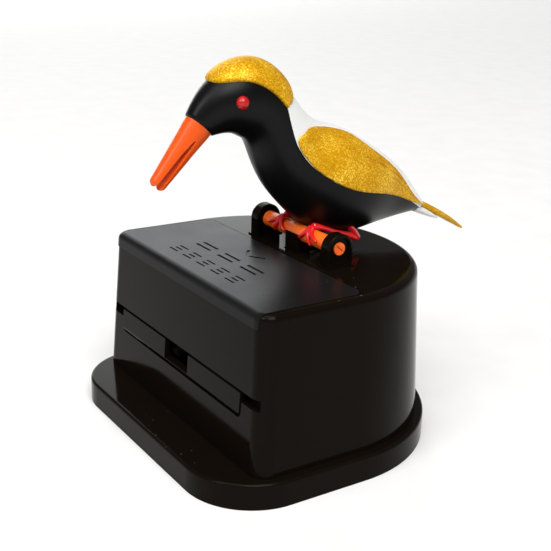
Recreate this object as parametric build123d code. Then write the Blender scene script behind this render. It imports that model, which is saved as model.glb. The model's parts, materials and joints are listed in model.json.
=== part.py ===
from build123d import *
import os
from math import cos, radians, sin

# Desk toothpick dispenser with a bowing bird. Millimetres.
# X runs across the box, the front faces -Y, Z is up, and z = 0 is the table.

# Driving sizes
pick_length = 65.0                      # a standard toothpick lies across the box
pick_clearance = 1.1                    # room past each end of a toothpick
wall = 2.0                              # moulded wall of the box
slack = 0.15                            # gap between pieces that drop into each other

# Base plate
base_height = 6.4
base_half_width = 42.5
base_front = 39.1
base_back = 39.2
base_corner = 17.5
base_round = 0.8                        # rounding of the plate's upper edge
base_skin = 2.2                         # top skin of the plate
rib = 1.0                               # half thickness of the ribs under the plate
ring_height = 1.8                       # ring that centres the box on the plate
ring_wall = 1.4
cover_thickness = 1.4

# Box: a D outline that narrows upward
box_top = 44.7
box_half_width = 38.0                   # at the top
box_front = 27.0
box_back = 35.7
box_corner = 4.0
box_draft = 1.9                         # how much the foot stands out on every side
box_edge = 1.8                          # rounding of the top edge
boss_radius = 3.8
boss_height = 9.0
boss_room = 0.7                         # room round each boss in the base plate's ring
boss_places = [(-34.2, -23.2), (34.2, -23.2), (-21.9, 24.4), (21.9, 24.4)]
screw_radius = 1.5
screw_head = 2.9
screw_head_height = 1.8
cross_long, cross_wide = 1.6, 0.3       # half sizes of the driver's cross

# Refill panel: the front half of the top, with an apron over the front wall
panel_half_width = 35.6
panel_seam = 1.8                        # y of the seam across the top
panel_thickness = 2.0
panel_corner = 3.0
apron_low = 41.0                        # lower edge of the apron
apron_back = -25.2                      # its inner face
apron_proud = 0.25
mark_depth = 0.25
arrow_x, arrow_y = -1.0, -7.4           # point of the engraved arrow
ledge = 1.3                             # what the panel rests on
rim_half_width = 37.5                   # thickening of the box under the panel's edge
rim_front = -26.5

# Front slot and its sprung gate
slot_half_width = 37.5
slot_z = 24.4                           # top edge of the gate
slot_gap = 0.5
gate_half_width = 30.5
gate_low = 18.3
gate_wall = 1.5
gate_proud = 0.25
gate_corner = 1.6                       # rounding of the gate's lower corners
gate_slack = 0.12
gate_round = 1.15                       # lower edge, round about the pips
gate_notch = 6.0                        # half width of the notch that the beak enters
gate_notch_low = 19.5
finger_notch_low = 22.2
gate_pin_radius = 0.5
gate_pin_length = 1.2

# Pick magazine
magazine_wall = 1.6
magazine_back = 2.6
magazine_top = 41.2
magazine_foot = (-14.0, -4.0)           # y limits of the feet on the plate
floor_low = (-25.7, 21.2)               # y, z of the sloped floor at the slot
floor_high = (magazine_back, 31.0)
beak_relief = 4.6                       # half width of the floor notch behind the gate

# Perch and its posts
axis_y = 7.8
axis_z = 49.4
perch_radius = 2.1
perch_half = 14.4
pin_radius = 1.6
pin_bore = pin_radius + 0.05            # running fit in the posts
spigot_radius = 1.2
post_inner = 14.6
post_outer = 17.9
post_radius = 3.8
post_rim = 0.8
post_edge = 0.4

# Lever and return spring
lever_half_width = 2.8
lever_front = 5.3
lever_back = 9.3
lever_low = 28.6
lever_slot = (4.8, 22.0)                # y limits of the slot in the deck
tongue = 0.8                            # half width of the lever's eye and of the lug
hook_y, hook_z = 7.9, 30.4
anchor_y, anchor_z = 5.0, 11.0
spring_radius = 2.0
spring_wire = 0.3
loop_radius = 1.5
spring_pitch = 1.25

# Bird: sections from the beak root to the tail, each one an ellipse
# (y, z, tilt of its upright axis towards the front in degrees, half height, half width)
bird_sections = [
    (-22.4, 79.3, 50, 4.0, 3.6),
    (-19.0, 82.2, 32, 5.9, 5.1),
    (-15.8, 84.0, 18, 7.4, 6.5),
    (-12.0, 84.9, 3, 8.8, 7.4),
    (-7.9, 84.2, -10, 9.4, 7.7),
    (-2.4, 78.2, -28, 9.5, 8.1),
    (3.7, 70.1, -38, 10.2, 9.2),
    (9.6, 66.5, -35, 12.3, 10.8),
    (16.8, 61.9, -30, 13.5, 11.5),
    (25.1, 58.5, -29, 12.0, 10.2),
    (34.3, 56.1, -31, 8.1, 6.9),
    (42.3, 54.0, -25, 4.1, 4.4),
    (48.8, 51.7, -10, 0.9, 1.5),
]
bird_wall = 1.6
crest_proud = 1.2
wing_proud = 0.7
back_line = [(-3.4, 88.5), (-1.1, 80.7), (0.3, 74.8), (3.3, 69.9), (10.6, 64.5), (22.0, 60.1),
             (37.7, 56.0), (46.0, 52.0), (51.0, 49.0)]
crest_line = [(-25.0, 88.4), (-20.7, 89.1), (-14.0, 90.1), (-8.3, 88.2), (-3.3, 84.2),
              (-1.2, 82.7), (0.5, 83.9), (2.6, 88.5)]
wing_line = [(0.9, 74.0), (3.0, 76.3), (7.5, 77.5), (14.1, 76.3), (23.3, 71.8), (33.7, 64.2),
             (42.2, 56.1), (45.6, 52.9), (36.9, 56.6), (22.4, 60.6), (8.7, 66.0), (2.9, 70.5)]

# Beak, eyes, legs and tail
beak_sections = [
    (-22.4, 79.3, 50, 3.7, 3.3),
    (-27.9, 72.6, 50, 2.7, 2.3),
    (-33.0, 66.7, 50, 1.6, 1.25),
    (-33.9, 65.7, 50, 1.0, 0.8),
]
beak_slot = 0.9
beak_slot_start = (-26.6, 74.0)
eye_radius = 1.7
eye_place = (6.6, -14.5, 85.3)
leg_x = 6.4
knuckle = (7.0, 52.7)                   # y, z
heel = (21.6, 47.5)
thigh = (18.0, 52.0)
toe_radius = 0.6
tail_tip = (65.2, 42.6)


def d_outline(half_width, front, back, corner):
    """A straight front with rounded corners, closed by half an ellipse behind."""
    sides = FilletPolyline((-half_width, 0), (-half_width, -front), (half_width, -front),
                           (half_width, 0), radius=corner)
    arc = EllipticalCenterArc((0, 0), half_width, back, start_angle=0, arc_size=180)
    return make_face(sides.edges() + arc.edges())


def d_block(inset, low, high):
    """A block of the box's narrowing D outline between two heights."""
    def at(z):
        out = box_draft * (box_top - z) / (box_top - base_height) - inset
        corner = max(box_corner - inset, 1.0)
        return Pos(0, 0, z) * d_outline(box_half_width + out, box_front + out, box_back + out, corner)
    return loft([at(low), at(high)], ruled=True)


def side_prism(outline, low_x, high_x):
    """A closed outline in Y and Z, carried along X."""
    return extrude(Plane.YZ.offset(low_x) * outline, high_x - low_x)


def x_rod(radius, y, z, low_x, high_x):
    return side_prism(Pos(y, z) * Circle(radius), low_x, high_x)


def z_rod(radius, x, y, low, high):
    return Pos(x, y, low) * extrude(Circle(radius), high - low)


def x_box(low, high):
    """A box between two opposite corners."""
    middle = [(a + b) / 2 for a, b in zip(low, high)]
    return Pos(*middle) * Box(*[b - a for a, b in zip(low, high)])


def arch(radius, foot):
    """A post's outline in Y and Z: round over the perch axis, straight down to its foot."""
    round_top = Pos(axis_y, axis_z) * Circle(radius)
    legs = Pos(axis_y, (axis_z + foot) / 2) * Rectangle(2 * radius, axis_z - foot)
    return round_top + legs


def front_y(z):
    """The outer front face of the box at a height."""
    return -box_front - box_draft * (box_top - z) / (box_top - base_height)


def section(place, grow=0.0):
    y, z, tilt, half_height, half_width = place
    lean = radians(tilt)
    plane = Plane(origin=(0, y, z), x_dir=(1, 0, 0), z_dir=(0, -cos(lean), -sin(lean)))
    return plane * Ellipse(half_width + grow, half_height + grow)


def body_form(grow=0.0, first=0, last=None):
    return loft([section(place, grow) for place in bird_sections[first:last]])


# Base

def make_base_plate():
    plate = extrude(d_outline(base_half_width, base_front, base_back, base_corner), base_height)
    plate = fillet(plate.faces().sort_by(Axis.Z)[-1].edges(), base_round)
    pocket = d_outline(base_half_width - wall, base_front - wall, base_back - wall, base_corner - wall)
    plate -= extrude(pocket, base_height - base_skin)
    plate += x_box((-rib, -30, cover_thickness), (rib, 30, base_height - base_skin))
    plate += x_box((-32, -rib, cover_thickness), (32, rib, base_height - base_skin))
    ring = d_block(wall + slack, base_height, base_height + ring_height)
    ring -= d_block(wall + slack + ring_wall, base_height, base_height + ring_height)
    plate += ring
    for x, y in boss_places:
        plate -= z_rod(boss_radius + boss_room, x, y, base_height, base_height + ring_height + 1)
        plate -= z_rod(screw_radius + 0.2, x, y, 0, base_height)
    lug = x_box((-tongue, anchor_y - 2, base_height), (tongue, anchor_y + 2, anchor_z + 1.6))
    return plate + lug - x_rod(0.8, anchor_y, anchor_z, -2, 2)


def make_bottom_cover():
    inset = wall + slack
    outline = d_outline(base_half_width - inset, base_front - inset, base_back - inset, base_corner - inset)
    return extrude(outline, cover_thickness)


def make_base_screws():
    screws = []
    under = base_height - base_skin
    low = under - screw_head_height
    for x, y in boss_places:
        screw = z_rod(screw_head, x, y, low, under)
        screw += z_rod(screw_radius, x, y, under, base_height + boss_height - 2)
        cross = x_box((x - cross_long, y - cross_wide, low), (x + cross_long, y + cross_wide, low + 0.8))
        cross += x_box((x - cross_wide, y - cross_long, low), (x + cross_wide, y + cross_long, low + 0.8))
        screws.append(screw - cross)
    return Compound(screws)


# Box

def make_post(side):
    post = side_prism(arch(post_radius, box_top - 1), post_inner, post_outer)
    faces = post.faces().sort_by(Axis.X)
    post = fillet(faces[0].edges() + faces[-1].edges(), post_edge)
    post -= side_prism(arch(post_radius - post_rim, box_top + 1.2), post_outer - 0.8, post_outer)
    foot = x_box((post_inner - 0.4, axis_y - post_radius - 0.4, box_top - 1),
                 (post_outer + 0.4, axis_y + post_radius + 0.4, box_top + 0.4))
    post = post + foot - x_rod(pin_bore, axis_y, axis_z, post_inner - 1, post_outer + 1)
    return post if side > 0 else mirror(post, Plane.YZ)


def front_cuts():
    """The long slot line, the gate's window and the two finger notches."""
    deep, out = front_y(slot_z) + wall + 1.5, front_y(gate_low) - 2
    cuts = x_box((-slot_half_width, out, slot_z), (slot_half_width, deep, slot_z + slot_gap))
    window = gate_half_width + slack
    cuts += front_plate(window, gate_low - gate_slack, slot_z + slot_gap, out, deep, gate_corner - 0.5)
    for side in (-1, 1):
        near, far = sorted((side * window, side * slot_half_width))
        cuts += x_box((near, out, finger_notch_low), (far, deep, slot_z + slot_gap))
    return cuts


def front_plate(half_width, low, high, near, far, corner):
    """A plate in the front wall with its two lower corners rounded."""
    rounded = FilletPolyline((-half_width, high), (-half_width, low), (half_width, low), (half_width, high),
                             radius=corner)
    face = make_face(rounded.edges() + Line((-half_width, high), (half_width, high)).edges())
    return extrude(Plane.XZ.offset(-far) * face, far - near)


def panel_plan(grow=0.0):
    """The panel seen from above, open towards the front."""
    length = 60.0
    outline = RectangleRounded(2 * (panel_half_width + grow), length, panel_corner)
    return Pos(0, panel_seam + grow - length / 2) * outline


def make_box_shell():
    shell = d_block(0, base_height, box_top)
    shell = fillet(shell.faces().sort_by(Axis.Z)[-1].edges(), box_edge)
    shell -= d_block(wall, base_height, box_top - panel_thickness)
    seat = box_top - panel_thickness
    rim = x_box((-rim_half_width, rim_front, seat - ledge), (rim_half_width, panel_seam + 2, box_top - 1))
    rim += x_box((ledge - rim_half_width, rim_front, apron_low - 1),
                 (rim_half_width - ledge, apron_back + 1.05, seat))
    shell += rim & d_block(1, 30, box_top - 0.5)
    shell -= Pos(0, 0, seat) * extrude(panel_plan(slack), 5)
    shell -= x_box((-panel_half_width - slack, -40, apron_low - slack),
                   (panel_half_width + slack, apron_back + slack, box_top))
    shell -= x_box((-panel_half_width + ledge, apron_back + slack + ledge, 35),
                   (panel_half_width - ledge, panel_seam - ledge, box_top))
    shell -= front_cuts()
    grow = slack + 0.15
    shell -= x_box((-lever_half_width - grow, lever_slot[0], 35), (lever_half_width + grow, lever_slot[1], 46))
    shell += make_post(1) + make_post(-1)
    reach = gate_half_width + gate_pin_length + 0.2
    shell -= x_rod(gate_pin_radius + 0.05, gate_pin_y, gate_pin_z, -reach, reach)
    for x, y in boss_places:
        shell += z_rod(boss_radius, x, y, base_height, base_height + boss_height) & d_block(0.5, base_height, 20)
        shell -= z_rod(screw_radius, x, y, base_height, base_height + boss_height - 2)
    return shell


def panel_marks():
    """Plain engraved signs: rows of short bars like laid toothpicks, and an arrow to the slot."""
    low, high = box_top - mark_depth, box_top + 1
    marks = []
    for column in range(5):
        x = -15.0 + 7.0 * column
        for line, length in enumerate((4.2, 3.0, 4.2)):
            y = -21.0 + 1.5 * line
            marks.append(x_box((x - length / 2, y - 0.28, low), (x + length / 2, y + 0.28, high)))
    for column in range(3):
        x = -13.0 + 11.0 * column
        for line in range(2):
            y = -13.4 + 2.2 * line
            marks.append(x_box((x - 3.6, y - 0.4, low), (x + 3.6, y + 0.4, high)))
    for side in (-1, 1):
        barb = Pos(arrow_x, arrow_y, low) * Rot(0, 0, side * 35) * Pos(side * 2.4, 0, 0)
        marks.append(barb * extrude(Rectangle(5.2, 0.8), 2))
    return marks


def make_refill_panel():
    """A plate whose front edge follows the box's outline and comes down as an apron."""
    top = d_block(-apron_proud, apron_low, box_top)
    top = fillet(top.faces().sort_by(Axis.Z)[-1].edges(), box_edge)
    top &= Pos(0, 0, apron_low) * extrude(panel_plan(), 10)
    under = x_box((-40, apron_back, apron_low), (40, 10, box_top - panel_thickness))
    return top - under - panel_marks()


# Front gate

gate_pin_y = front_y(gate_low) - gate_proud + gate_round
gate_pin_z = gate_low + gate_round


def make_pick_gate():
    """A flap that leans with the front face and turns on two moulded pips."""
    top_y, low_y = front_y(slot_z) - gate_proud, front_y(gate_low) - gate_proud
    side = Polyline((top_y, slot_z), (low_y, gate_pin_z), (low_y + gate_wall, gate_pin_z),
                    (top_y + gate_wall, slot_z), close=True)
    flap = side_prism(make_face(side), -gate_half_width, gate_half_width)
    flap += x_rod(gate_round, gate_pin_y, gate_pin_z, -gate_half_width, gate_half_width)
    flap &= front_plate(gate_half_width, gate_low, slot_z, low_y - 1, low_y + 4, gate_corner)
    reach = gate_half_width + gate_pin_length
    flap += x_rod(gate_pin_radius, gate_pin_y, gate_pin_z, -reach, reach)
    notch = x_box((-gate_notch, top_y - 3, gate_notch_low), (gate_notch, top_y + 5, slot_z + 1))
    return flap - notch


# Pick magazine

def make_magazine():
    inner = pick_length / 2 + pick_clearance
    outer = inner + magazine_wall
    (y0, z0), (y1, z1) = floor_low, floor_high
    front_foot, back_foot = magazine_foot
    ramp = make_face(Polyline((y0, z0), (y1, z1), (y1, z1 - 1.8), (y0 + 0.4, z0 - 1.6), close=True))
    tray = side_prism(ramp, -outer, outer)
    tray += x_box((-outer, magazine_back - magazine_wall, z1 - 4), (outer, magazine_back, magazine_top))
    side_face = make_face(Polyline((y0 + 0.6, z0 - 1.4), (-24.0, magazine_top), (magazine_back, magazine_top),
                                   (magazine_back, z1 - 4), (back_foot, 22), (back_foot, base_height),
                                   (front_foot, base_height), (front_foot, 19), close=True))
    for side in (-1, 1):
        low, high = sorted((side * inner, side * outer))
        tray += side_prism(side_face, low, high)
    return tray - x_box((-beak_relief, y0 - 1, 15), (beak_relief, y0 + 5, 30))


# Perch, lever and spring

def make_perch_tube():
    tube = x_rod(perch_radius, axis_y, axis_z, -perch_half, perch_half)
    return tube - x_rod(spigot_radius, axis_y, axis_z, -perch_half, perch_half)


def make_perch_pin(side):
    pin = x_rod(pin_radius, axis_y, axis_z, perch_half, post_outer - 0.4)
    pin += x_rod(spigot_radius, axis_y, axis_z, perch_half - 6, perch_half)
    slot = Pos(post_outer, axis_y, axis_z) * Rot(48, 0, 0) * Box(1.6, 0.55, 2.6)
    pin -= slot
    return pin if side > 0 else mirror(pin, Plane.YZ)


def make_lever():
    bar = x_box((-lever_half_width, lever_front, lever_low + 6), (lever_half_width, lever_back, axis_z))
    bar += x_box((-tongue, lever_front, lever_low), (tongue, lever_back, lever_low + 6))
    bar -= x_rod(perch_radius, axis_y, axis_z, -5, 5)
    return bar - x_rod(0.8, hook_y, hook_z, -5, 5)


def make_return_spring():
    """An open coil with a loop at each end, leaning from the lug up to the lever's eye."""
    lean = Vector(0, hook_y - anchor_y, hook_z - anchor_z)
    length, end = lean.length, 2 * loop_radius
    coil_radius = spring_radius - spring_wire
    coil = Helix(pitch=spring_pitch, height=length - 2 * end, radius=coil_radius)
    ring = Plane(origin=coil @ 0, z_dir=coil % 0) * Circle(spring_wire)
    wire = Pos(0, 0, end) * sweep(ring, path=coil)
    for centre, tip, point in ((loop_radius, end, coil @ 0), (length - loop_radius, length - end, coil @ 1)):
        wire += Pos(0, 0, centre) * Rot(90, 0, 0) * Torus(loop_radius, spring_wire)
        wire += limb((0, 0, tip), (point.X, point.Y, tip), spring_wire, 0.95 * spring_wire)
    place = Plane(origin=(0, anchor_y, anchor_z), x_dir=(1, 0, 0), z_dir=lean.normalized())
    return place.location * wire


# Bird

def side_region(line, corners, low_x=-20.0, high_x=20.0):
    """Everything on one side of a smooth line in Y and Z, between two values of x."""
    points = [line[-1]] + corners + [line[0]]
    return side_prism(make_face(Spline(*line).edges() + Polyline(*points).edges()), low_x, high_x)


def make_bird_halves():
    hollow = body_form() - body_form(-bird_wall, 1, -3)
    hollow -= x_rod(perch_radius, axis_y, axis_z, -perch_half, perch_half)
    rear = side_region(back_line, [(51, 100), (-3.4, 100)])
    return hollow - rear, hollow & rear


def make_crest():
    return (body_form(crest_proud) & side_region(crest_line, [(2.6, 100), (-25, 100)])) - body_form()


def make_wing(side):
    outline = make_face(Spline(*wing_line, periodic=True).edges())
    region = side_prism(outline, 0.5, 20)
    wing = (body_form(wing_proud) & region) - body_form()
    return wing if side > 0 else mirror(wing, Plane.YZ)


def make_eye(side):
    eye = Pos(*eye_place) * Sphere(eye_radius) - body_form()
    return eye if side > 0 else mirror(eye, Plane.YZ)


def make_beak():
    beak = loft([section(place) for place in beak_sections])
    y, z = beak_slot_start
    along = Location((0, y, z), (beak_sections[0][2] - 90, 0, 0))
    return beak - along * Pos(0, 0, -10) * Box(10, beak_slot, 20)


def limb(start, end, start_radius, end_radius):
    """A tapered rod with a ball at each end."""
    a, b = Vector(*start), Vector(*end)
    plane = Plane(origin=a, z_dir=(b - a).normalized())
    rod = plane.location * Cone(start_radius, end_radius, (b - a).length,
                                align=(Align.CENTER, Align.CENTER, Align.MIN))
    return rod + Pos(*start) * Sphere(start_radius * 1.03) + Pos(*end) * Sphere(end_radius * 1.03)


def make_leg(side):
    top = (leg_x, *knuckle)
    leg = limb(top, (leg_x, *heel), 0.9, 0.8) + limb((leg_x, *heel), (leg_x, *thigh), 0.8, 0.95)
    for spread in (-2.2, 0, 2.2):
        bend = (leg_x + 0.6 * spread, axis_y - perch_radius - 0.9, axis_z + 1.4)
        tip = (leg_x + spread, axis_y - perch_radius - 0.3, axis_z - 0.9)
        leg += limb(top, bend, 0.7, toe_radius) + limb(bend, tip, toe_radius, 0.45)
    leg -= x_rod(perch_radius, axis_y, axis_z, -perch_half, perch_half)
    leg -= body_form()
    return leg if side > 0 else mirror(leg, Plane.YZ)


def tail_blade(outline, root_half, tip_half):
    """A flat side outline, narrowed towards the tail's tip when seen from above."""
    (y, z) = tail_tip
    plan = make_face(Polyline((-root_half, 46), (-tip_half, y), (tip_half, y), (root_half, 46), close=True))
    blade = side_prism(make_face(Polyline(*outline, close=True)), -3, 3)
    return blade & Pos(0, 0, 35) * extrude(plan, 30)


def make_tail_feather():
    y, z = tail_tip
    return tail_blade([(49.6, 52.0), (y, z + 0.35), (y, z), (49.2, 50.9)], 2.3, 1.0)


def make_tail_root():
    y, z = tail_tip
    blade = tail_blade([(45.5, 51.6), (47.6, 49.4), (y - 0.6, z - 0.1), (y - 0.6, z + 0.2), (49.2, 50.9),
                        (49.6, 52.0), (48.0, 52.2)], 2.3, 1.0)
    return blade - body_form() - make_tail_feather()


def build():
    body, back = make_bird_halves()
    nodes = {
        "base_plate": make_base_plate(),
        "bottom_cover": make_bottom_cover(),
        "base_screws": make_base_screws(),
        "box_shell": make_box_shell(),
        "refill_panel": make_refill_panel(),
        "pick_gate": make_pick_gate(),
        "magazine": make_magazine(),
        "perch_tube": make_perch_tube(),
        "lever_arm": make_lever(),
        "return_spring": make_return_spring(),
        "bird_body": body,
        "back_shell": back,
        "tail_root": make_tail_root(),
        "tail_feather": make_tail_feather(),
        "crest": make_crest(),
        "beak": make_beak(),
    }
    for name, side in (("right", 1), ("left", -1)):
        nodes["perch_pin_" + name] = make_perch_pin(side)
        nodes["wing_" + name] = make_wing(side)
        nodes["eye_" + name] = make_eye(side)
        nodes["leg_" + name] = make_leg(side)
    return nodes


os.makedirs("parts", exist_ok=True)
for node, shape in build().items():
    export_step(shape, f"parts/{node}.step")
    print(node, len(shape.solids()), round(shape.volume, 1))
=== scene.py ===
import bpy
import bmesh
import json
import numpy as np
from math import radians, pi, sin, cos
from mathutils import Matrix, Vector


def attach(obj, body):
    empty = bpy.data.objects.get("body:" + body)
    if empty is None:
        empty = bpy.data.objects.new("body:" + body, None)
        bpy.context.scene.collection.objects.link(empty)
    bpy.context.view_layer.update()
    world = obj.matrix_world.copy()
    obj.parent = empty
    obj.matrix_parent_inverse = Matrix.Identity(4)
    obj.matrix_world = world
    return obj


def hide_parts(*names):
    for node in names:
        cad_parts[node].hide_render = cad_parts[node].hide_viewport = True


# Toothpick dispenser with a bowing bird. Shapes are worked out in millimetres, meshes are stored in metres.

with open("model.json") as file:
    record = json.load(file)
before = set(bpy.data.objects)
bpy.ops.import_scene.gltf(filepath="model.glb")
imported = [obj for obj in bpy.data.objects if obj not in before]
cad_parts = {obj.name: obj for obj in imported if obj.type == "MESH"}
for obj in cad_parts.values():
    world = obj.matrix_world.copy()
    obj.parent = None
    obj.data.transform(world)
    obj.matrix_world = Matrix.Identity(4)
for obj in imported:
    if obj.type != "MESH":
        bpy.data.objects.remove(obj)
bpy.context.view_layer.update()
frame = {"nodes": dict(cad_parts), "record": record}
mm = 0.001
print("frame loaded:", len(frame["nodes"]), "nodes")


def smoothCurve(knots, values, at):
    # natural cubic spline through (knots, values), read at the places 'at'
    knots, values, at = np.asarray(knots, float), np.asarray(values, float), np.asarray(at, float)
    step, n = np.diff(knots), len(knots)
    system = np.eye(n)
    inside = np.arange(1, n - 1)
    system[inside, inside] = 2 * (step[:-1] + step[1:])
    system[inside, inside - 1], system[inside, inside + 1] = step[:-1], step[1:]
    bend = np.zeros(n)
    slope = np.diff(values) / step
    bend[1:-1] = 6 * np.diff(slope)
    second = np.linalg.solve(system, bend)
    k = np.clip(np.searchsorted(knots, at) - 1, 0, n - 2)
    h, a, b = step[k], knots[k + 1] - at, at - knots[k]
    return (second[k] * a ** 3 + second[k + 1] * b ** 3) / (6 * h) \
        + (values[k] / h - second[k] * h / 6) * a + (values[k + 1] / h - second[k + 1] * h / 6) * b


def alongPath(points, count):
    # points spaced evenly on the smooth curve through a few given ones
    points = np.asarray(points, float)
    reach = np.concatenate([[0], np.cumsum(np.linalg.norm(np.diff(points, axis=0), axis=1))])
    at = np.linspace(0, reach[-1], count)
    return np.stack([smoothCurve(reach, column, at) for column in points.T], 1), at / reach[-1]


def roundLoop(points, count):
    # a closed smooth curve: the points are repeated on both sides and the middle turn is kept
    points = np.asarray(points, float)
    n = len(points)
    wrapped = np.concatenate([points, points, points, points[:1]])
    reach = np.concatenate([[0], np.cumsum(np.linalg.norm(np.diff(wrapped, axis=0), axis=1))])
    at = np.linspace(reach[n], reach[2 * n], count, endpoint=False)
    return np.stack([smoothCurve(reach, column, at) for column in wrapped.T], 1)


def resampleLoop(outline, count):
    # evenly spaced points on a closed run of straight pieces
    closed = np.vstack([outline, outline[:1]])
    reach = np.concatenate([[0], np.cumsum(np.linalg.norm(np.diff(closed, axis=0) * [1, 0.15], axis=1))])
    at = np.linspace(0, reach[-1], count, endpoint=False)
    return np.stack([np.interp(at, reach, column) for column in closed.T], 1)


def makeMesh(name, places, faces):
    mesh = bpy.data.meshes.new(name)
    mesh.from_pydata((np.asarray(places, float).reshape(-1, 3) * mm).tolist(), [], faces)
    piece = bpy.data.objects.new(name, mesh)
    bpy.context.scene.collection.objects.link(piece)
    return piece


def gridFaces(rows, columns, wrap):
    # quads between neighbouring rows and columns, the last column joined to the first if it wraps
    i, j = np.meshgrid(np.arange(rows - 1), np.arange(columns if wrap else columns - 1), indexing="ij")
    k = (j + 1) % columns
    quads = np.stack([i * columns + j, i * columns + k, (i + 1) * columns + k, (i + 1) * columns + j], -1)
    return quads.reshape(-1, 4).tolist()


def closeUp(piece, gap=0.002, smooth=True):
    # merge doubled points, close open ends and turn every face outwards
    work = bmesh.new()
    work.from_mesh(piece.data)
    bmesh.ops.remove_doubles(work, verts=work.verts, dist=gap * mm)
    bmesh.ops.dissolve_degenerate(work, edges=work.edges, dist=gap * mm * 0.5)
    holes = [edge for edge in work.edges if edge.is_boundary]
    if holes:
        bmesh.ops.holes_fill(work, edges=holes, sides=0)
    bmesh.ops.recalc_face_normals(work, faces=work.faces)
    if work.calc_volume(signed=True) < 0:
        bmesh.ops.reverse_faces(work, faces=work.faces)
    work.to_mesh(piece.data)
    work.free()
    if smooth:
        piece.data.polygons.foreach_set("use_smooth", np.ones(len(piece.data.polygons), bool))
    return piece


def tube(name, points, radii, count, around=20):
    # circles carried along a smooth path: centre + r(t) * (cos v * side + sin v * up), ends rounded off
    path, share = alongPath(points, count)
    run = np.gradient(path, axis=0)
    run /= np.linalg.norm(run, axis=1)[:, None]
    side = np.cross(run, [0.0, 0.31, 0.95])
    side /= np.linalg.norm(side, axis=1)[:, None]
    up = np.cross(side, run)
    radius = np.interp(share, np.linspace(0, 1, len(radii)), radii)
    length = np.linalg.norm(np.diff(path, axis=0), axis=1).sum()
    for end in (share * length, (1 - share) * length):
        inside = np.clip(end / radius, 0, 1)
        radius = radius * np.sqrt(np.maximum(1 - (1 - inside) ** 2, 0.0004))
    v = np.linspace(0, 2 * pi, around, endpoint=False)[None, :, None]
    ring = np.cos(v) * side[:, None] + np.sin(v) * up[:, None]
    places = path[:, None] + radius[:, None, None] * ring
    return closeUp(makeMesh(name, places, gridFaces(count, around, True)))


def useModifier(piece, kind, **values):
    modifier = piece.modifiers.new(kind.title(), kind)
    for key, value in values.items():
        setattr(modifier, key, value)
    return modifier


def applyAll(piece):
    bpy.context.view_layer.update()
    done = bpy.data.meshes.new_from_object(piece.evaluated_get(bpy.context.evaluated_depsgraph_get()))
    old, piece.data = piece.data, done
    piece.modifiers.clear()
    bpy.data.meshes.remove(old)
    piece.data.name = piece.name
    piece.data.polygons.foreach_set("use_smooth", np.ones(len(piece.data.polygons), bool))
    return piece


def fuse(name, pieces, voxel, rounds):
    # several overlapping shapes become one moulded skin
    for other in pieces[1:]:
        join = useModifier(pieces[0], "BOOLEAN", operation="UNION", solver="EXACT")
        join.object = other
        applyAll(pieces[0])
    useModifier(pieces[0], "REMESH", mode="VOXEL", voxel_size=voxel * mm)
    useModifier(pieces[0], "SMOOTH", factor=0.5, iterations=rounds)
    applyAll(pieces[0])
    for other in pieces[1:]:
        bpy.data.objects.remove(other)
    pieces[0].name = pieces[0].data.name = name
    return pieces[0]


def newMaterial(name, color, roughness, **values):
    material = bpy.data.materials.new(name)
    material.use_nodes = True
    shader = material.node_tree.nodes["Principled BSDF"]
    shader.inputs["Base Color"].default_value = (*color, 1)
    shader.inputs["Roughness"].default_value = roughness
    for key, value in values.items():
        shader.inputs[key.replace("_", " ")].default_value = value
    return material, material.node_tree, shader


def link(tree, a, b):
    tree.links.new(a, b)


def node(tree, kind, **values):
    made = tree.nodes.new("ShaderNode" + kind)
    for key, value in values.items():
        if key in made.inputs:
            made.inputs[key].default_value = value
        else:
            setattr(made, key, value)
    return made


def objectPlace(tree):
    return node(tree, "TexCoord").outputs["Object"]


def blendRange(tree, value, low, high, a, b):
    ranged = node(tree, "MapRange")
    for socket, amount in zip(("From Min", "From Max", "To Min", "To Max"), (low, high, a, b)):
        ranged.inputs[socket].default_value = amount
    link(tree, value, ranged.inputs["Value"])
    return ranged.outputs["Result"]


def addBump(tree, shader, height, strength, distance):
    bump = node(tree, "Bump", Strength=strength, Distance=distance)
    link(tree, height, bump.inputs["Height"])
    link(tree, bump.outputs["Normal"], shader.inputs["Normal"])


plastic = {
    # scales of the slow drift, the fine skin and the dust, how far the colour drifts, and the dust's colour
    "drift": 55.0, "grain": 2600.0, "specks": 420.0, "tint": 0.06, "dustColor": (0.5, 0.48, 0.45),
    "speckSize": (0.05, 0.09), "patches": (0.48, 0.62), "lookingUp": (0.6, 0.95), "rippleHeight": 0.00004,
}


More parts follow.
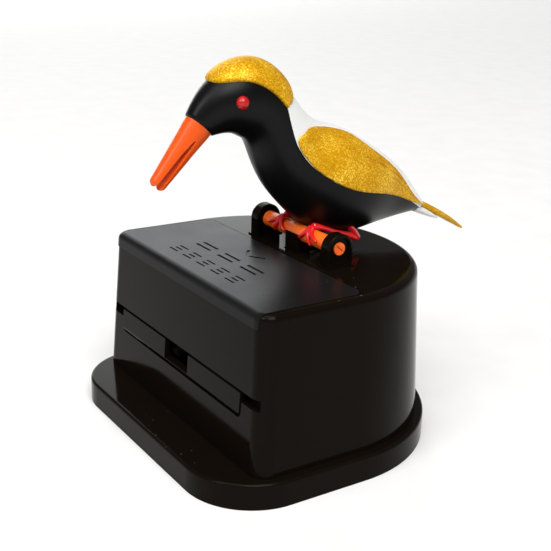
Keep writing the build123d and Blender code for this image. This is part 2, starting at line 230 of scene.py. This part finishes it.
def mouldedPlastic(name, color, roughness, spread, ripple, dust=0.0, **values):
    # colour and gloss drift slowly, the skin ripples a little, and fine dust lies on faces that look up
    material, tree, shader = newMaterial(name, color, roughness, **values)
    place = objectPlace(tree)
    drift = node(tree, "TexNoise", Scale=plastic["drift"], Detail=3.0)
    grain = node(tree, "TexNoise", Scale=plastic["grain"], Detail=2.0)
    for texture in (drift, grain):
        link(tree, place, texture.inputs["Vector"])
    link(tree, blendRange(tree, drift.outputs["Fac"], 0.3, 0.7, roughness - spread, roughness + spread),
         shader.inputs["Roughness"])
    tint = node(tree, "Mix", data_type="RGBA")
    tint.inputs["A"].default_value = (*[c * (1 - plastic["tint"]) for c in color], 1)
    tint.inputs["B"].default_value = (*[min(c * (1 + plastic["tint"]), 1) for c in color], 1)
    link(tree, drift.outputs["Fac"], tint.inputs["Factor"])
    colour = tint.outputs["Result"]
    if dust:
        specks = node(tree, "TexVoronoi", Scale=plastic["specks"])
        link(tree, place, specks.inputs["Vector"])
        dots = blendRange(tree, specks.outputs["Distance"], *plastic["speckSize"], 1.0, 0.0)
        patch = blendRange(tree, drift.outputs["Fac"], *plastic["patches"], 0.0, 1.0)
        facing = node(tree, "SeparateXYZ")
        link(tree, node(tree, "NewGeometry").outputs["Normal"], facing.inputs["Vector"])
        level = blendRange(tree, facing.outputs["Z"], *plastic["lookingUp"], 0.0, dust)
        amount = node(tree, "Math", operation="MULTIPLY")
        more = node(tree, "Math", operation="MULTIPLY")
        link(tree, dots, amount.inputs[0])
        link(tree, patch, amount.inputs[1])
        link(tree, amount.outputs[0], more.inputs[0])
        link(tree, level, more.inputs[1])
        dusty = node(tree, "Mix", data_type="RGBA")
        dusty.inputs["B"].default_value = (*plastic["dustColor"], 1)
        link(tree, more.outputs[0], dusty.inputs["Factor"])
        link(tree, colour, dusty.inputs["A"])
        colour = dusty.outputs["Result"]
    link(tree, colour, shader.inputs["Base Color"])
    addBump(tree, shader, grain.outputs["Fac"], ripple, plastic["rippleHeight"])
    return material


goldPaint = {
    "bright": (0.57, 0.285, 0.004), "deep": (0.36, 0.150, 0.002), "spark": (0.85, 0.58, 0.06),
    "flakes": 3900.0, "tilt": 0.34, "roughness": 0.40, "metal": 0.22,
    "clouds": 160.0, "flakeShare": 0.55, "cloudRange": (0.15, 0.45), "brightAt": 0.62, "sparkAt": 0.93,
    "shine": 0.05,
}


def glitter(name, look):
    # flakes are Voronoi cells; each has its own shade and leans its own way, so single flakes catch the light
    material, tree, shader = newMaterial(name, look["bright"], look["roughness"], Metallic=look["metal"],
                                         Specular_IOR_Level=look["shine"])
    place = objectPlace(tree)
    flakes = node(tree, "TexVoronoi", Scale=look["flakes"])
    clouds = node(tree, "TexNoise", Scale=look["clouds"], Detail=4.0)
    link(tree, place, flakes.inputs["Vector"])
    link(tree, place, clouds.inputs["Vector"])
    split = node(tree, "SeparateColor")
    link(tree, flakes.outputs["Color"], split.inputs["Color"])
    shade = node(tree, "Math", operation="MULTIPLY_ADD")
    shade.inputs[1].default_value = look["flakeShare"]
    link(tree, split.outputs["Red"], shade.inputs[0])
    link(tree, blendRange(tree, clouds.outputs["Fac"], 0.3, 0.7, *look["cloudRange"]), shade.inputs[2])
    ramp = node(tree, "ValToRGB")
    ramp.color_ramp.elements[0].color = (*look["deep"], 1)
    ramp.color_ramp.elements[1].color = (*look["bright"], 1)
    ramp.color_ramp.elements[1].position = look["brightAt"]
    spark = ramp.color_ramp.elements.new(look["sparkAt"])
    spark.color = (*look["spark"], 1)
    link(tree, shade.outputs[0], ramp.inputs["Fac"])
    link(tree, ramp.outputs["Color"], shader.inputs["Base Color"])
    lean = node(tree, "VectorMath", operation="SUBTRACT")
    lean.inputs[1].default_value = (0.5, 0.5, 0.5)
    link(tree, flakes.outputs["Color"], lean.inputs[0])
    size = node(tree, "VectorMath", operation="SCALE")
    size.inputs["Scale"].default_value = look["tilt"]
    link(tree, lean.outputs["Vector"], size.inputs[0])
    add = node(tree, "VectorMath", operation="ADD")
    link(tree, node(tree, "NewGeometry").outputs["Normal"], add.inputs[0])
    link(tree, size.outputs["Vector"], add.inputs[1])
    unit = node(tree, "VectorMath", operation="NORMALIZE")
    link(tree, add.outputs["Vector"], unit.inputs[0])
    link(tree, unit.outputs["Vector"], shader.inputs["Normal"])
    return material


steel = {"color": (0.55, 0.55, 0.56), "gloss": (0.2, 0.4), "streaks": 900.0, "bump": (0.15, 0.00002)}


def springSteel(name):
    # drawn wire: the gloss and a faint bump change over very short lengths
    material, tree, shader = newMaterial(name, steel["color"], steel["gloss"][0], Metallic=1.0)
    drawn = node(tree, "TexNoise", Scale=steel["streaks"], Detail=3.0)
    link(tree, objectPlace(tree), drawn.inputs["Vector"])
    link(tree, blendRange(tree, drawn.outputs["Fac"], 0.3, 0.7, *steel["gloss"]), shader.inputs["Roughness"])
    addBump(tree, shader, drawn.outputs["Fac"], *steel["bump"])
    return material


# each plastic: name, colour, roughness, how far the roughness drifts, strength of the ripple
finishes = {
    # the box's near-black colour carries a brown tint that is a painted reflection of a brown table below, in
    # place of the reflection its low specular leaves out
    "gloss_black": mouldedPlastic("boxBlackWithPaintedReflection", (0.0045, 0.003, 0.0018), 0.10, 0.035, 0.04, dust=0.25,
                                  Specular_IOR_Level=0.04),
    "panel_black": mouldedPlastic("panelBlack", (0.007, 0.007, 0.0075), 0.30, 0.04, 0.16, dust=0.2,
                                  Specular_IOR_Level=0.06),
    "inner_black": mouldedPlastic("innerBlack", (0.008, 0.008, 0.008), 0.45, 0.05, 0.2,
                                  Specular_IOR_Level=0.2),
    "satin_black": mouldedPlastic("birdBlack", (0.002, 0.002, 0.0021), 0.32, 0.05, 0.10,
                                  Specular_IOR_Level=0.14),
    "white": mouldedPlastic("birdWhite", (0.70, 0.70, 0.69), 0.38, 0.05, 0.1, Subsurface_Weight=0.15,
                            Subsurface_Scale=0.002, Specular_IOR_Level=0.3),
    "orange": mouldedPlastic("perchOrange", (1.0, 0.15, 0.012), 0.27, 0.06, 0.10, Subsurface_Weight=0.25,
                             Subsurface_Scale=0.002),
    "beakOrange": mouldedPlastic("beakOrange", (0.66, 0.078, 0.003), 0.30, 0.06, 0.10, Subsurface_Weight=0.5,
                                 Subsurface_Scale=0.004, Specular_IOR_Level=0.25),
    "red": mouldedPlastic("legRed", (0.66, 0.010, 0.012), 0.18, 0.05, 0.08, Subsurface_Weight=0.3,
                          Subsurface_Scale=0.0015, Coat_Weight=0.2),
    "eyeRed": mouldedPlastic("eyeRed", (0.40, 0.006, 0.005), 0.24, 0.02, 0.0, Specular_IOR_Level=0.4),
    "gold": glitter("goldGlitter", goldPaint),
    "steel": springSteel("springSteel"),
}
slotOf = {part["node"]: part["material_slot"] for part in frame["record"]["subparts"]}
for name, part in frame["nodes"].items():
    part.data.materials.clear()
    part.data.materials.append(finishes[slotOf[name]])
print("materials on", len(frame["nodes"]), "frame nodes")


def place(piece, body, slot, *nodes, finish=None):
    piece.data.materials.clear()
    piece.data.materials.append(finishes[finish or slot])
    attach(piece, body)
    if nodes:
        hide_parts(*nodes)
    return piece


bird = {
    # y, z, tilt of the section's upright axis towards the front, half height, half width
    "sections": [
        (-22.4, 79.3, 50, 4.0, 3.6), (-19.0, 82.2, 32, 5.9, 5.1), (-15.8, 84.0, 18, 7.4, 6.5),
        (-12.0, 84.9, 3, 8.8, 7.4), (-7.9, 84.2, -10, 9.4, 7.7), (-2.4, 78.2, -28, 9.5, 8.1),
        (3.7, 70.1, -38, 10.2, 9.2), (9.6, 66.5, -35, 12.3, 10.8), (16.8, 61.9, -30, 13.5, 11.5),
        (25.1, 58.5, -29, 12.0, 10.2), (34.3, 56.1, -31, 8.1, 6.9), (42.3, 54.0, -25, 4.1, 4.4),
        (48.8, 51.7, -10, 0.9, 1.5)],
    # the back is a little fuller than an ellipse: where along the spine, how much, over what length
    "swell": [(34.0, 0.7, 6.0), (68.0, 0.75, 10.0)],
    "rings": 220, "around": 144, "lip": 0.5,
}
rows = np.array(bird["sections"], float)
spine = np.concatenate([[0], np.cumsum(np.linalg.norm(np.diff(rows[:, :2], axis=0), axis=1))])
bodyLength = spine[-1]


def skin(u, v, proud=0.0):
    # u is the distance along the spine in mm and v the angle round it in degrees, 0 at +X and 90 on top:
    # centre(u) + (width * cos v, height * sin v along the section's leaning upright axis)
    y, z, tilt, high, wide = (smoothCurve(spine, column, u) for column in rows.T)
    lean, turn = np.radians(tilt), np.radians(v)
    swell = sum(size * np.exp(-((np.asarray(u) - at) / reach) ** 2) for at, size, reach in bird["swell"])
    rise = (high + proud + swell * np.clip(np.sin(turn), 0, 1) ** 2) * np.sin(turn)
    return np.stack([(wide + proud) * np.cos(turn), y - rise * np.sin(lean), z + rise * np.cos(lean)], -1)


def makeBody():
    # the whole skin as one closed form; both ends close with a small rounding
    u = np.concatenate([[0], np.linspace(0, bodyLength, bird["rings"]), [bodyLength]])
    v = np.linspace(0, 360, bird["around"], endpoint=False)
    near = np.clip(np.minimum(u, bodyLength - u) / bird["lip"], 0, 1)
    shrink = -bird["lip"] * (1 - np.sqrt(1 - (1 - near) ** 2))
    places = skin(u[:, None], v[None], shrink[:, None])
    for row, ring in ((0, places[1]), (-1, places[-2])):
        places[row] = ring.mean(0) + (ring - ring.mean(0)) * 0.05
    return closeUp(makeMesh("birdBody", places, gridFaces(len(u), len(v), True)))


def patchOnSkin(name, outline, middle, proud, under=0.45, rounds=26, power=5.0, groove=None):
    # a thin piece that lies on the skin: each point of its outline is joined to the middle line by a spoke,
    # and the height over the skin is proud * (1 - r^power)^(1/power) at the share r of the spoke,
    # then the spoke comes back at the depth 'under'
    outline, middle = np.asarray(outline, float), np.asarray(middle, float)
    share = (outline[:, 0] - outline[:, 0].min()) / np.ptp(outline[:, 0])
    at = np.linspace(0, 1, len(middle))
    centre = np.stack([np.interp(share, at, column) for column in middle.T], 1)
    rim = 1 - 0.2 * np.linspace(1, 0, rounds // 2) ** 1.7     # closer together where the edge rounds off
    r = np.concatenate([np.linspace(0, 0.8, rounds, endpoint=False), rim])
    r = np.concatenate([r, r[::-1]])[:, None]
    u, v = (centre[:, i] + r * (outline[:, i] - centre[:, i]) for i in (0, 1))
    height = proud * np.maximum(1 - r ** power, 0) ** (1 / power) + 0 * u
    if groove is not None:
        height = height - groove(u, v)
    half = len(r) // 2
    height[half:] = -under
    return closeUp(makeMesh(name, skin(u, v, height), gridFaces(len(r), len(outline), True)), gap=0.01)


def bothSides(half):
    # an outline over the back: the +X half, then its mirror image with the angle taken from the other side
    half = np.asarray(half, float)
    other = half[::-1].copy()
    other[:, 1] = 180 - other[:, 1]
    return np.concatenate([half, other[1:-1]])


# outlines on the skin are pairs of distance along the spine in mm and angle in degrees
back = {
    "side": [(19.5, 44.0), (21.0, 31.0), (22.2, 22.0), (23.8, 14.6), (25.3, 9.8), (27.1, 5.4), (29.1, 1.8),
             (31.7, 0.2), (35.8, -3.2), (39.7, -5.6), (43.4, -5.6), (46.7, -3.2), (50.2, 1.0), (56.0, 6.2),
             (62.0, 9.5), (68.5, 9.8), (74.5, 5.0), (78.5, -7.0), (81.5, -26.0)],
    "front": 18.6, "rear": 83.2, "proud": 0.1,
}


def makeBack():
    # the white shell: its outline runs over the ridge from side to side
    half = [(back["front"], 90.0)] + back["side"] + [(back["rear"], 90.0)]
    outline = resampleLoop(bothSides(half), 360)
    ridge = [(back["front"] + 4, 90.0), (back["rear"] - 3, 90.0)]
    return patchOnSkin("birdBack", outline, ridge, back["proud"], power=8.0)


crest = {
    "side": [(6.9, 77.0), (7.1, 69.5), (7.5, 61.5), (8.5, 51.0), (9.9, 43.0), (11.4, 36.8), (13.3, 30.6),
             (15.3, 25.0), (17.2, 22.0), (19.3, 20.8), (21.0, 20.8), (22.4, 26.0), (23.1, 34.0),
             (23.3, 54.0)],
    "front": 6.8, "rear": 23.4, "proud": 1.2,
}


def makeCrest():
    # the cap on the head, thick and softly rounded at its edge
    half = [(crest["front"], 90.0)] + crest["side"] + [(crest["rear"], 90.0)]
    outline = resampleLoop(roundLoop(bothSides(half), 700), 320)
    ridge = [(crest["front"] + 3.0, 90.0), (crest["rear"] - 4.0, 90.0)]
    return patchOnSkin("birdCrest", outline, ridge, crest["proud"], power=4.0)


wing = {
    "outline": [(28.9, 5.0), (29.1, 18.0), (30.2, 34.0), (32.3, 50.0), (35.2, 62.0), (38.8, 67.5),
                (43.2, 67.0), (48.0, 64.0), (53.8, 59.8), (59.0, 56.5), (64.0, 52.0), (69.1, 43.0),
                (74.9, 26.0), (80.0, 0.0), (73.7, 3.6), (67.9, 8.4), (61.5, 8.0), (55.6, 4.5), (50.7, 0.3),
                (46.2, -3.6), (41.8, -5.6), (37.5, -4.2), (33.5, -0.4), (30.4, 1.6)],
    "middle": [(32.5, 20.0), (40.0, 24.0), (50.0, 29.0), (60.0, 28.0), (68.0, 21.0), (76.5, 4.5)],
    "proud": 0.7, "rounds": 74,
    # feather lines: share of the way from the lower edge to the upper one at the front and at the tip,
    # where the line starts along the wing, and its strength
    "grooves": [(0.50, 0.84, 0.12, 1.0), (0.70, 0.92, 0.08, 0.8), (0.85, 0.97, 0.06, 0.7),
                (0.30, 0.62, 0.45, 0.6)],
    "grooveDepth": 0.5, "grooveWidth": 0.024, "grooveEnd": 0.93, "fadeIn": 0.1, "fadeOut": 0.08,
}


def makeWing(sideName):
    # a thin leaf on the skin, from its middle line out to a smooth rim, with engraved feather lines
    outline = resampleLoop(roundLoop(wing["outline"], 900), 420)
    middle = np.array(wing["middle"], float)
    tip = outline[:, 0].argmax()
    rim = np.roll(outline, -tip, 0)
    turn = rim[:, 0].argmin()
    low, top = rim[:turn][::-1], rim[turn:]

    def grooves(u, v):
        # each line lies at a share of the way from the lower edge to the upper one, which changes evenly
        # along the wing: depth * exp(-((part - share) / width)^2), faded at both ends
        high, bottom = (np.interp(u, edge[:, 0], edge[:, 1]) for edge in (top, low))
        part = (v - bottom) / np.maximum(high - bottom, 1.0)
        along = (u - rim[:, 0].min()) / np.ptp(rim[:, 0])
        depth = 0
        for first, last, start, strength in wing["grooves"]:
            share = first + (last - first) * along
            fade = np.clip((along - start) / wing["fadeIn"], 0, 1)
            fade = fade * np.clip((wing["grooveEnd"] - along) / wing["fadeOut"], 0, 1)
            depth = depth + strength * fade * np.exp(-((part - share) / wing["grooveWidth"]) ** 2)
        return wing["grooveDepth"] * depth

    piece = patchOnSkin("wing" + sideName, outline, middle, wing["proud"], rounds=wing["rounds"],
                        groove=grooves)
    if sideName == "Left":
        piece.data.transform(Matrix.Scale(-1, 4, (1, 0, 0)))
        closeUp(piece)
    return piece


place(makeBody(), "bird", "satin_black", "bird_body")
place(makeBack(), "bird", "white", "back_shell")
place(makeCrest(), "bird", "gold", "crest")
for sideName in ("Right", "Left"):
    place(makeWing(sideName), "bird", "gold", "wing_" + sideName.lower())
print("bird's skin, back, crest and wings made")


beak = {
    # y, z, half height, half width
    "sections": [(-21.4, 80.5, 3.7, 3.3), (-22.4, 79.3, 3.68, 3.28), (-25.1, 76.1, 3.25, 3.0),
                 (-27.9, 72.75, 2.85, 2.65), (-30.4, 69.75, 2.5, 2.35), (-33.0, 66.65, 2.15, 2.0)],
    "lean": 50, "tip": 1.5,
    # the slot between the mandibles: distance from the root, its middle above the axis, half its gap
    "slot": [(3.6, -0.15, 0.10), (4.2, -0.10, 0.24), (8.5, 0.0, 0.55), (16.5, -0.05, 0.75),
             (19.8, -0.1, 1.15)],
    "voxel": 0.1, "smoothing": 8, "rings": 70, "around": 72,
}


def makeBeak():
    # ellipses along a straight line, closed by a round tip, then split by a slot that opens towards the tip
    table = np.array(beak["sections"], float)
    reach = np.concatenate([[0], np.cumsum(np.linalg.norm(np.diff(table[:, :2], axis=0), axis=1))])
    at = np.linspace(0, reach[-1], beak["rings"])
    y, z, high, wide = (smoothCurve(reach, column, at) for column in table.T)
    run = (table[-1, :2] - table[0, :2]) / np.linalg.norm(table[-1, :2] - table[0, :2])
    cap = np.linspace(0, pi / 2, 16)[1:]
    y = np.concatenate([y, y[-1] + run[0] * beak["tip"] * np.sin(cap)])
    z = np.concatenate([z, z[-1] + run[1] * beak["tip"] * np.sin(cap)])
    taper = np.maximum(np.cos(cap), 0.01)
    high, wide = (np.concatenate([size, size[-1] * taper]) for size in (high, wide))
    v = np.linspace(0, 2 * pi, beak["around"], endpoint=False)
    lean = radians(beak["lean"])
    rise = high[:, None] * np.sin(v)
    y, z = y[:, None] - rise * sin(lean), z[:, None] + rise * cos(lean)
    places = np.stack([wide[:, None] * np.cos(v), y, z], -1)
    piece = closeUp(makeMesh("birdBeak", places, gridFaces(len(places), beak["around"], True)))
    # the slot: a narrow wedge in the side view, carried across along X
    start, up = table[1, :2], np.array([-sin(lean), cos(lean)])
    far, middle, gap = np.array(beak["slot"], float).T[..., None]
    upper, lower = (start + run * far + up * edge for edge in (middle + gap, middle - gap))
    rim = np.concatenate([upper, lower[::-1]])
    across = np.stack([np.column_stack([np.full(len(rim), x), rim]) for x in (-6.0, 6.0)])
    cutter = closeUp(makeMesh("slotCutter", across, gridFaces(2, len(rim), True)), smooth=False)
    cut = useModifier(piece, "BOOLEAN", operation="DIFFERENCE", solver="EXACT")
    cut.object = cutter
    applyAll(piece)
    bpy.data.objects.remove(cutter)
    useModifier(piece, "REMESH", mode="VOXEL", voxel_size=beak["voxel"] * mm)
    useModifier(piece, "SMOOTH", factor=0.5, iterations=beak["smoothing"])
    return applyAll(piece)


eye = {"centre": (6.6, -14.3, 85.3), "radius": 1.6, "rings": 40}


def makeEye(sign, sideName):
    # a round bead half sunk in the head: centre + r (sin a, cos a cos b, cos a sin b)
    a = np.linspace(-pi / 2, pi / 2, eye["rings"])[:, None]
    b = np.linspace(0, 2 * pi, eye["rings"] * 2, endpoint=False)[None]
    x, y, z = eye["centre"]
    r = eye["radius"]
    across = sign * (x + r * np.sin(a) + 0 * b)
    places = np.stack([across, y + r * np.cos(a) * np.cos(b), z + r * np.cos(a) * np.sin(b)], -1)
    return closeUp(makeMesh("eye" + sideName, places, gridFaces(eye["rings"], eye["rings"] * 2, True)))


leg = {
    "x": 6.4, "knuckle": (7.0, 52.7), "heel": (21.6, 47.5), "thigh": (18.0, 52.1),
    # how far each toe goes sideways, and how high its tip ends over the perch's axis
    "toes": [(-3.1, -0.5), (1.9, -1.4), (4.6, 0.3)], "toeTop": 2.2, "toeHalf": 0.45,
    "voxel": 0.13, "smoothing": 5,
    "shankRadii": [0.95, 0.72, 0.66, 0.7, 0.8, 0.85, 0.95], "toeRadii": [0.78, 0.66, 0.56, 0.4],
}
perch = {"y": 7.8, "z": 49.4, "radius": 2.1}


def makeLeg(sign, sideName):
    # shank and thigh are one bent rod, and three toes start at the knuckle and close on the perch
    x = leg["x"]
    knuckle, heel, thigh = (np.array([x, *leg[key]]) for key in ("knuckle", "heel", "thigh"))
    bend = heel + (0, 0.15, -0.1)
    shank = [knuckle, knuckle * 0.75 + heel * 0.25 + (0, 0, 0.15), (knuckle + heel) / 2,
             knuckle * 0.12 + heel * 0.88, bend, heel * 0.55 + thigh * 0.45 + (0, 0.35, 0), thigh]
    parts = [tube("shank", shank, leg["shankRadii"], 90)]
    for spread, height in leg["toes"]:
        toe = [knuckle + (0, 0.3, -0.1)]
        for share in (0.45, 0.8, 1.0):
            # the toe lies on the perch: a point at the height share * height round its front
            z = perch["z"] + leg["toeTop"] + share * (height - leg["toeTop"])
            y = perch["y"] - np.sqrt(max((perch["radius"] + leg["toeHalf"]) ** 2 - (z - perch["z"]) ** 2, 0))
            toe.append((x + spread * share, y, z))
        parts.append(tube("toe", toe, leg["toeRadii"], 50))
    piece = fuse("leg" + sideName, parts, leg["voxel"], leg["smoothing"])
    if sign < 0:
        piece.data.transform(Matrix.Scale(-1, 4, (1, 0, 0)))
        closeUp(piece)
    return piece


tailShape = {"rings": 70, "around": 48, "roundFrom": 0.95, "edge": 0.7}
tailFeather = {"root": (47.6, 52.3), "tip": (65.1, 42.75), "halfWidth": (2.2, 2.1, 1.7, 0.8),
               "halfThick": (1.0, 0.95, 0.75, 0.35), "arch": 0.35}
tailRoot = {"root": (45.6, 51.6), "tip": (54.6, 47.3), "halfWidth": (2.3, 2.3, 2.0, 1.3),
            "halfThick": (1.3, 1.1, 0.8, 0.3), "arch": 0.0}


def makeTail(name, tail):
    # flat rounded sections along a slightly curved line, narrowing to a round tip
    root, tip = np.array([0, *tail["root"]]), np.array([0, *tail["tip"]])
    run = (tip - root) / np.linalg.norm(tip - root)
    up = np.array([0, -run[2], run[1]])
    middle = (root + tip) / 2 + up * tail["arch"]
    path, t = alongPath([root, middle, tip], tailShape["rings"])
    at = np.linspace(0, 1, len(tail["halfWidth"]))
    wide, thick = (np.interp(t, at, tail[key]) for key in ("halfWidth", "halfThick"))
    past = np.clip(t - tailShape["roundFrom"], 0, 1) / (1 - tailShape["roundFrom"])
    end = np.sqrt(np.clip(1 - past ** 2, 0.0025, 1))
    v = np.linspace(0, 2 * pi, tailShape["around"], endpoint=False)
    lens = np.sign(np.sin(v)) * np.abs(np.sin(v)) ** tailShape["edge"]
    places = path[:, None] + (wide * end)[:, None, None] * np.cos(v)[None, :, None] * np.array([1, 0, 0]) \
        + ((thick * end)[:, None] * lens)[:, :, None] * up
    return closeUp(makeMesh(name, places, gridFaces(len(path), tailShape["around"], True)))


place(makeBeak(), "bird", "orange", "beak", finish="beakOrange")
for sideName, sign in (("Right", 1), ("Left", -1)):
    place(makeEye(sign, sideName), "bird", "red", "eye_" + sideName.lower(), finish="eyeRed")
    place(makeLeg(sign, sideName), "bird", "red", "leg_" + sideName.lower())
place(makeTail("tailFeather", tailFeather), "bird", "gold", "tail_feather")
place(makeTail("tailRoot", tailRoot), "bird", "white", "tail_root")
print("beak, eyes, legs and tail made")


studio = {
    "floor": (0.72, 0.715, 0.71), "world": 0.22,
    "floorRings": [(0.001, 0), (2.5, 0), (3.5, 0.08), (4.5, 0.3), (6.0, 0.8)],      # radius and height in m
    "sun": {"strength": 2.4, "angle": 60.0, "tilt": (14.0, 20.0, 0.0)},
    "lights": [("window", (-2.45, 0.68, 0.95), 1.75, 22.0, (0.97, 0.99, 1.0)),
               ("fill", (0.75, -0.25, 1.0), 0.7, 9.0, (1.0, 0.99, 0.97)),
               ("front", (0.10, -0.80, 0.62), 0.3, 2.2, (1.0, 1.0, 1.0))],
}
camera = {"place": (0.20975, -0.13889, 0.12415), "azimuth": 56.47, "height": 17.635, "roll": 1.638,
          "lens": 67.11, "shift": (0.0024, -0.0375)}


def makeFloor():
    # a round floor whose far rim rises gently, so no horizon shows
    v = np.linspace(0, 2 * pi, 96, endpoint=False)
    rings = [np.stack([r * np.cos(v), r * np.sin(v), 0 * v + z], -1) / mm for r, z in studio["floorRings"]]
    floor = makeMesh("floor", np.stack(rings), gridFaces(len(rings), len(v), True))
    floor.data.materials.append(mouldedPlastic("floorPaper", studio["floor"], 0.8, 0.05, 0.0))


def makeLights():
    world = bpy.data.worlds.new("studio")
    bpy.context.scene.world = world
    bpy.context.scene.view_settings.view_transform = "Standard"
    world.use_nodes = True
    world.node_tree.nodes["Background"].inputs["Color"].default_value = (1, 1, 1, 1)
    world.node_tree.nodes["Background"].inputs["Strength"].default_value = studio["world"]
    for name, spot, size, power, tint in studio["lights"]:
        lamp = bpy.data.lights.new(name, "AREA")
        lamp.size, lamp.energy, lamp.color = size, power, tint
        holder = bpy.data.objects.new(name, lamp)
        holder.location = spot
        holder.rotation_euler = (Vector((0, 0, 0.05)) - Vector(spot)).to_track_quat("-Z", "Y").to_euler()
        bpy.context.scene.collection.objects.link(holder)


def makeSun():
    # one very wide, soft light from above
    lamp = bpy.data.lights.new("sky", "SUN")
    lamp.energy, lamp.angle = studio["sun"]["strength"], radians(studio["sun"]["angle"])
    holder = bpy.data.objects.new("sky", lamp)
    holder.rotation_euler = [radians(turn) for turn in studio["sun"]["tilt"]]
    bpy.context.scene.collection.objects.link(holder)


def makeCamera():
    # looks along the azimuth and height, then is rolled about its own axis
    az, up, roll = (radians(camera[key]) for key in ("azimuth", "height", "roll"))
    back = Vector((sin(az) * cos(up), -cos(az) * cos(up), sin(up)))
    right = Vector((cos(az), sin(az), 0))
    above = back.cross(right)
    turned = right * cos(roll) + above * sin(roll), above * cos(roll) - right * sin(roll), back
    holder = bpy.data.objects.new("camera", bpy.data.cameras.new("camera"))
    holder.data.lens = camera["lens"]
    holder.data.clip_start = 0.01
    holder.data.shift_x, holder.data.shift_y = camera["shift"]
    holder.matrix_world = Matrix.Translation(camera["place"]) @ Matrix(turned).transposed().to_4x4()
    bpy.context.scene.collection.objects.link(holder)
    bpy.context.scene.camera = holder


makeFloor()
makeLights()
makeSun()
makeCamera()
print("studio ready")

bpy.context.view_layer.update()
